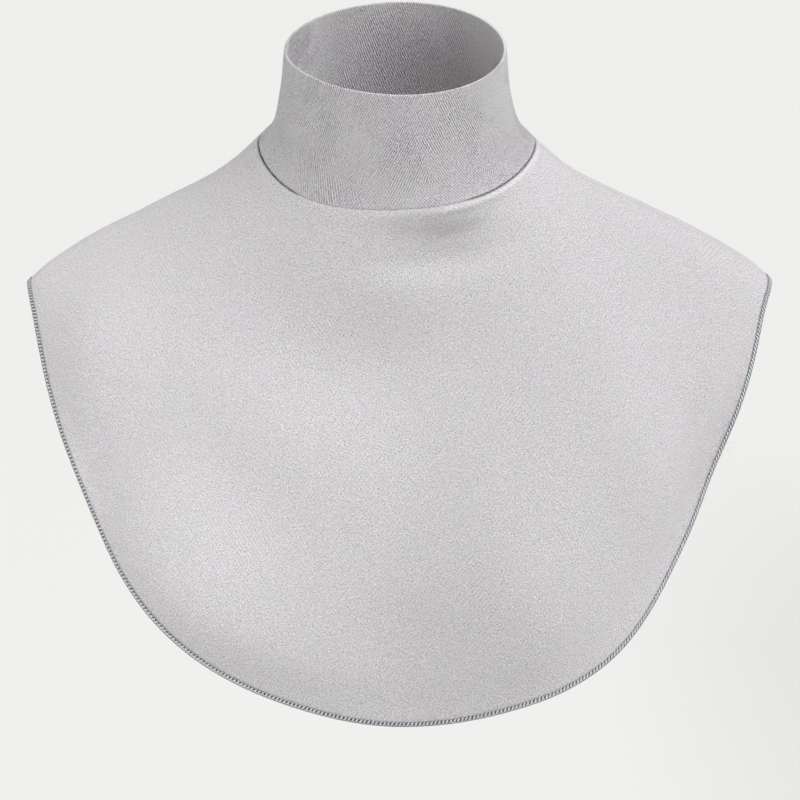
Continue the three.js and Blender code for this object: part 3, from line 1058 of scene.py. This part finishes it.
def collar_knit(colours):
    """The collar's jersey: steep fine ribs that lean one way in the middle and the other way beside it."""
    shader = Shader("collar_knit")
    place = shader.flat_place()
    across, up = place
    drift = shader.noise(34.0) * 2.0 + shader.noise(330.0, 1.0) * 1.8
    right_leaning = stripes(place, RIGHT_RIBS, drift)
    left_leaning = stripes(place, LEFT_RIBS, drift)
    crossing = stripes(place, CROSS_RIBS, drift * -1.0)
    round_neck = ((across + LEAN_SHIFT) * (LEANS_ROUND / COLLAR_RADIUS)).cosine()
    lean = (round_neck * 0.7 + shader.noise(75.0) * 2.0 + 0.5).held()
    rightward = shader.slubs(across * 0.89 + up * -0.46, across * 0.2 + up * 0.4, fineness=1500.0)
    leftward = shader.slubs(across * 0.9 + up * 0.43, across * -0.19 + up * 0.4, fineness=1500.0)
    ribs = right_leaning * lean + left_leaning * (1.0 - lean)
    dashes = rightward * lean + leftward * (1.0 - lean)
    grain = shader.noise(1800.0, detail=1.0, roughness=0.6)
    strength = (shader.noise(30.0, 1.0) + 1.0).held(0.7, 1.15)
    knit = (ribs * 1.1 + dashes * 1.8) * strength + crossing * ribs * 0.3 + grain * 1.2
    # Painted shade and painted highlight from the mesh darken and lighten the knit.
    shade = shader.tucked(1.0 + knit * 0.29, depth=0.72)
    warmth = shader.patches(55.0, detail=2.0, gain=1.0, middle=0.5)
    patchy = shader.mixed(warmth, scaled(colours.collar, COLLAR_GREYER), tuple(colours.collar))
    return shader.finished(
        Base_Color=shader.tinted(patchy, shade), Roughness=0.88, Specular_IOR_Level=0.25,
        Sheen_Weight=1.0, Sheen_Roughness=0.3, Normal=shader.bump(knit, distance=0.00014),
    )


def wrapping_thread(colours):
    """The pale thread that wraps the edge."""
    return spun_thread("wrapping_thread", colours.thread)


def chain_thread(colours):
    """The darker thread along the edge."""
    return spun_thread("chain_thread", colours.chain)


def spun_thread(name, tint):
    """Two-ply spun thread: plies that wind round it, and a slightly uneven colour."""
    shader = Shader(name)
    along, around = shader.flat_place()
    plies = (along * (2 * math.pi / PLY_PITCH) + around * (4 * math.pi)).sine()
    fuzz = shader.noise(2600.0, 2.0)
    shade = 1.0 + plies * 0.1 + fuzz * 0.06 + shader.noise(90.0, 1.0) * 0.06
    return shader.finished(
        Base_Color=shader.tinted(tuple(tint), shade), Roughness=0.55, Specular_IOR_Level=0.4,
        Normal=shader.bump(plies + fuzz * 0.5, distance=0.00005),
    )


def pale_floor(colours):
    """Matt pale studio paper, with painted shade under the dickey, a painted shadow behind its left, and the
    faintest mottling.
    """
    shader = Shader("pale_floor")
    place = shader.node("ShaderNodeTexCoord", {}, output="Object")
    distance = shader.node("ShaderNodeVectorMath", {"operation": "LENGTH"}, place, output=1)
    # Painted shade on the floor under the dickey, fading out away from it.
    tint = shader.mixed(distance.ramp(*FLOOR_SHADE_FADES), tuple(colours.floor_shade), tuple(colours.floor))
    x, y = shader.split(place)
    # A painted shadow on the floor behind the wearer's left.
    painted_shadow = x.ramp(*SHADOW_LEFT) * y.ramp(*SHADOW_BACK)
    shade = 1.0 - painted_shadow * SHADOW_DEPTH + shader.noise(1.5) * 0.004
    return shader.finished(Base_Color=shader.tinted(tint, shade), Roughness=1.0, Specular_IOR_Level=0.0)


def attach(piece, node):
    """Puts a piece in the place of a node of the solid model, on the body."""
    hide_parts(node)
    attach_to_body(piece, BODY)


def finish_of(name, make, colours):
    """A material by name, made once."""
    return bpy.data.materials.get(name) or make(colours)


def strip_drape(sizes, cloth, angle, t):
    """A grid of places on the hung bibs, folds included, for a strip that lies against their inside."""
    drape = on_bibs(sizes, angle, t)
    drape.relief = bib_relief(sizes, cloth, drape)
    return drape


def neck_strip(sizes, cloth):
    """The turnings of the neckline: rows down from the seam, columns all round."""
    angle = np.linspace(-math.pi, math.pi, NECK_STRIP_COLUMNS, endpoint=False)[None, :]
    per_way = on_bibs(sizes, angle, 0 * angle).per_way
    rows = np.linspace(0, 1, STRIP_ROWS)[:, None]
    return strip_drape(sizes, cloth, angle, (sizes.gap + cloth.allowance * rows) / per_way)


def shoulder_strip(sizes, cloth, side):
    """The turnings of a shoulder seam: rows across the seam, columns from the neck turnings to the hem."""
    places = np.linspace(0, 1, SHOULDER_STRIP_COLUMNS)[None, :]
    seam = on_bibs(sizes, side + 0 * places, places)
    start = (2 * sizes.gap + cloth.allowance) / seam.per_way[0, 0]
    end = 1 - cloth.edge_width / seam.per_way[0, -1]
    t = start + (end - start) * places
    width = np.interp(t, places[0], seam.per_radian[0])
    rows = np.linspace(-0.5, 0.5, STRIP_ROWS)[:, None]
    return strip_drape(sizes, cloth, side + rows * cloth.allowance / width, t + 0 * rows)


def middle_row(grid):
    """The row half-way down a grid."""
    return grid[len(grid) // 2]


def hem_line(sizes, cloth, stage):
    """The middle of the overlocked edge all round: the front bib's hem, then the back bib's, and the angles
    of the front's points."""
    parts = []
    angles = []
    for middle in (FRONT, BACK):
        drape = bib_drape(sizes, cloth, stage, middle)
        row = drape.hem_row
        outer = drape.layer(cloth.layer / 2)[row]
        centre = outer + drape.onward[row] * (sizes.gap + cloth.edge_width / 2)
        parts.append((centre, drape.outward[row], drape.onward[row]))
        angles.append(drape.angle[row])
    points, up, across = (np.concatenate(column) for column in zip(*parts))
    return Line(points, up, across, True), angles[0]


def overlock(line, cloth, width, thickness, seed):
    """Overlock stitches along a line, as two bundles of thread: the one that wraps the edge, and the needle
    thread with the two strands of the chain that lies along the edge."""
    radius = cloth.thread / 2
    inside = width - cloth.thread
    wrap = sewn(line, LOOPER_STITCH, cloth.stitch, inside, thickness, radius, seed, cloth.spread)
    needle = sewn(line, NEEDLE_STITCH, cloth.stitch, inside, thickness, radius * NEEDLE_SHARE, seed + 1)
    out = CHAIN_OUT * width
    over = CHAIN_OVER * thickness
    chain = [twisted_strand(line, cloth.stitch, out, over, radius, strand) for strand in (0, 1)]
    return wrap, join([needle, *chain])


class DICKEY_OT_stage(bpy.types.Operator):
    """Camera, pale floor, soft lights and pale sky"""

    bl_idname = "dickey.stage"
    bl_label = "Stage"

    def execute(self, context):
        stage = context.scene.dickey_stage
        colours = context.scene.dickey_colours
        self.camera(context, stage)
        side = stage.floor_side / 2
        mesh = bpy.data.meshes.new("floor")
        corners = [(-side, -side), (side, -side), (side, side), (-side, side)]
        mesh.from_pydata([(x, y, -stage.floor_fall) for x, y in corners], [], [(0, 1, 2, 3)])
        mesh.materials.append(finish_of("pale_floor", pale_floor, colours))
        floor = bpy.data.objects.new("floor", mesh)
        context.scene.collection.objects.link(floor)
        self.sun(context, "key", KEY_FROM, stage.key_strength, stage.softness)
        self.sun(context, "back", BACK_FROM, stage.back_strength, stage.softness)
        self.panel(context, "side", SIDE_FROM, SIDE_AT, stage.side_power)
        world = bpy.data.worlds.new("pale_sky")
        world.use_nodes = True
        background = world.node_tree.nodes["Background"]
        background.inputs["Color"].default_value = (*colours.sky, 1)
        background.inputs["Strength"].default_value = stage.sky_strength
        context.scene.world = world
        context.scene.view_settings.view_transform = "Standard"
        return {"FINISHED"}

    def camera(self, context, stage):
        """The camera at the photograph's angle."""
        data = bpy.data.cameras.new("camera")
        data.lens = stage.lens
        data.sensor_width = 36
        data.clip_start = 0.05
        data.clip_end = 200
        camera = bpy.data.objects.new("camera", data)
        camera.location = (stage.camera_x, stage.camera_y, stage.camera_z)
        camera.rotation_euler = (QUARTER - stage.camera_fall, 0, 0)
        context.scene.collection.objects.link(camera)
        context.scene.camera = camera

    def panel(self, context, name, place, target, power):
        """A soft square light near the object that faces a target."""
        data = bpy.data.lights.new(name, "AREA")
        data.size = PANEL_SIDE
        data.energy = power
        self.hang(context, data, name, np.array(place), np.array(place) - np.array(target))

    def hang(self, context, data, name, place, back):
        """Puts a light at a place, with its back to a direction."""
        lamp = bpy.data.objects.new(name, data)
        back = unit(back)
        lamp.location = place
        lamp.rotation_euler = (math.acos(back[2]), 0, math.atan2(back[1], back[0]) + QUARTER)
        context.scene.collection.objects.link(lamp)

    def sun(self, context, name, place, strength, softness):
        """A wide distant light that shines from a place towards the object."""
        data = bpy.data.lights.new(name, "SUN")
        data.energy = strength
        data.angle = softness
        self.hang(context, data, name, SUN_DISTANCE * unit(np.array(place)), np.array(place))


class DICKEY_OT_collar(bpy.types.Operator):
    """Collar of one band of jersey folded double over its top edge"""

    bl_idname = "dickey.collar"
    bl_label = "Collar"

    def execute(self, context):
        sizes = context.scene.dickey_sizes
        cloth = context.scene.dickey_cloth
        drape = collar_drape(sizes, cloth)
        wall = 2 * cloth.layer + cloth.fold_gap
        outer_fold = self.fold(drape, wall / 2, wall / 2, np.linspace(0, math.pi, 11)[1:-1])
        inner_fold = self.fold(drape, wall / 2, cloth.fold_gap / 2, np.linspace(math.pi, 0, 7)[1:-1])
        profile = np.concatenate([
            drape.layer(0.0), outer_fold, drape.layer(wall)[::-1],
            drape.layer(wall - cloth.layer), inner_fold, drape.layer(cloth.layer)[::-1],
        ])
        rows, cols = profile.shape[:2]
        quads = grid_faces(rows, cols, True, True)
        run = run_of(profile, True).mean(1)
        radius = drape.girth.mean() / (2 * math.pi)
        angle = np.append(drape.angle[0], math.pi)
        chart = np.stack(np.broadcast_arrays(angle[None, :] * radius, run[:, None]), -1)
        tuck = np.zeros(profile.shape[:2])
        rows_up = len(drape.tuck)
        tuck[:rows_up] = drape.tuck
        # A painted highlight along the fold of the top edge.
        fold_highlight = FOLD_HIGHLIGHT + FOLD_HIGHLIGHT_LEFT * np.sin(drape.angle[0])
        tuck[rows_up + 2 : rows_up + len(outer_fold) - 2] = -fold_highlight
        material = finish_of("collar_knit", collar_knit, context.scene.dickey_colours)
        piece = new_piece(
            "collar_cloth", profile.reshape(-1, 3), quads, corner_values(chart), material,
            tuck.ravel(),
        )
        attach(piece, "collar")
        return {"FINISHED"}

    def fold(self, drape, depth, radius, turns):
        """Half a circle over the top edge, from the outer face to the inner one."""
        middle = drape.layer(depth)[-1]
        outward = drape.outward[-1]
        onward = drape.onward[-1]
        return np.stack([
            middle + radius * (math.cos(turn) * outward + math.sin(turn) * onward) for turn in turns
        ])


class DICKEY_OT_bibs(bpy.types.Operator):
    """Front bib and back bib, each one layer of jersey"""

    bl_idname = "dickey.bibs"
    bl_label = "Bibs"

    def execute(self, context):
        sizes = context.scene.dickey_sizes
        cloth = context.scene.dickey_cloth
        material = finish_of("bib_knit", bib_knit, context.scene.dickey_colours)
        for name, middle in (("front_bib", FRONT), ("back_bib", BACK)):
            drape = bib_drape(sizes, cloth, context.scene.dickey_stage, middle)
            piece = closed_sheet(
                name + "_cloth", drape.layer(0.0), drape.layer(cloth.layer), drape.chart, material,
                drape.tuck,
            )
            attach(piece, name)
        return {"FINISHED"}

    def cut_area(self, chart):
        """Flat area of the cut, from its outline by the shoelace formula."""
        outline = np.concatenate([chart[0], chart[1:, -1], chart[-1, -2::-1], chart[-2:0:-1, 0]])
        after = np.roll(outline, -1, axis=0)
        return float(abs((outline[:, 0] * after[:, 1] - outline[:, 1] * after[:, 0]).sum()) / 2)


def thread_pieces(context, name, node, bundles):
    """Bundles of overlock thread as pieces of a node: what wraps the edge, what lies along it, loose ends."""
    colours = context.scene.dickey_colours
    finishes = (
        ("_stitches", "wrapping_thread", wrapping_thread),
        ("_chain", "chain_thread", chain_thread),
        ("_ends", "wrapping_thread", wrapping_thread),
    )
    for bundle, (ending, finish, make) in zip(bundles, finishes):
        piece = new_piece(name + ending, *bundle, finish_of(finish, make, colours))
        attach(piece, node)


class DICKEY_OT_turnings(bpy.types.Operator):
    """Overlocked turnings inside the neckline and the two shoulder seams"""

    bl_idname = "dickey.turnings"
    bl_label = "Turnings"

    def execute(self, context):
        sizes = context.scene.dickey_sizes
        cloth = context.scene.dickey_cloth
        drape = neck_strip(sizes, cloth)
        self.make(context, "neck_turnings", drape, middle_row(drape.onward), True)
        for side, name in ((QUARTER, "left"), (-QUARTER, "right")):
            drape = shoulder_strip(sizes, cloth, side)
            across = np.cross(middle_row(drape.onward), middle_row(drape.outward))
            self.make(context, f"shoulder_turnings_{name}", drape, across, False)
        return {"FINISHED"}

    def make(self, context, name, drape, across, ring):
        """A strip of three layers and the stitches round it."""
        cloth = context.scene.dickey_cloth
        half = cloth.turnings / 2
        outer = drape.layer(cloth.turnings_depth - half)
        inner = drape.layer(cloth.turnings_depth + half)
        profile = np.concatenate([outer, inner[::-1]])
        rows, cols = profile.shape[:2]
        material = finish_of("bib_knit", bib_knit, context.scene.dickey_colours)
        run = np.stack(np.meshgrid(run_of(outer[0], True), run_of(profile[:, 0], True)), -1)
        if ring:
            quads = grid_faces(rows, cols, True, True)
            uv = corner_values(run)
            strip = new_piece(name + "_cloth", profile.reshape(-1, 3), quads, uv, material)
        else:
            chart = run[: rows // 2, :cols]
            strip = closed_sheet(name + "_cloth", outer, inner, chart, material, np.zeros(chart.shape[:2]))
        attach(strip, name)
        line = Line(middle_row(drape.layer(cloth.turnings_depth)), middle_row(drape.outward), across, ring)
        bundles = overlock(line, cloth, cloth.allowance, cloth.turnings + cloth.thread, TURNINGS_SEED)
        thread_pieces(context, name, name, bundles)


class DICKEY_OT_edge(bpy.types.Operator):
    """Overlocked edge all round the two bibs, with a few loose ends of thread"""

    bl_idname = "dickey.edge"
    bl_label = "Overlocked edge"

    def execute(self, context):
        cloth = context.scene.dickey_cloth
        line, angles = hem_line(context.scene.dickey_sizes, cloth, context.scene.dickey_stage)
        bundles = overlock(line, cloth, cloth.edge_width, cloth.edge_thickness, EDGE_SEED)
        ends = free_ends(line, angles, cloth.edge_thickness)
        thread_pieces(context, "edge", "overlocked_edge", (*bundles, ends))
        return {"FINISHED"}


class DICKEY_PT_panel(bpy.types.Panel):
    """The steps that make the dickey"""

    bl_idname = "DICKEY_PT_panel"
    bl_label = "Dickey"
    bl_space_type = "VIEW_3D"
    bl_region_type = "UI"
    bl_category = "Dickey"

    def draw(self, context):
        for step in STEPS:
            self.layout.operator(step.bl_idname)


STEPS = (DICKEY_OT_stage, DICKEY_OT_turnings, DICKEY_OT_edge, DICKEY_OT_collar, DICKEY_OT_bibs)
SETTINGS = {
    "dickey_sizes": DickeySizes,
    "dickey_cloth": DickeyCloth,
    "dickey_colours": DickeyColours,
    "dickey_stage": DickeyStage,
}


def register():
    """Makes the settings, the operators and the panel known to Blender."""
    for kind in (*SETTINGS.values(), *STEPS, DICKEY_PT_panel):
        bpy.utils.register_class(kind)
    for name, kind in SETTINGS.items():
        setattr(bpy.types.Scene, name, PointerProperty(type=kind))


def unregister():
    """Takes them away again."""
    for name in SETTINGS:
        delattr(bpy.types.Scene, name)
    for kind in (DICKEY_PT_panel, *reversed(STEPS), *reversed(SETTINGS.values())):
        bpy.utils.unregister_class(kind)


def main():
    """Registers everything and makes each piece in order."""
    register()
    bpy.ops.dickey.stage()
    bpy.ops.dickey.turnings()
    bpy.ops.dickey.edge()
    bpy.ops.dickey.collar()
    bpy.ops.dickey.bibs()


if __name__ == "__main__":
    main()
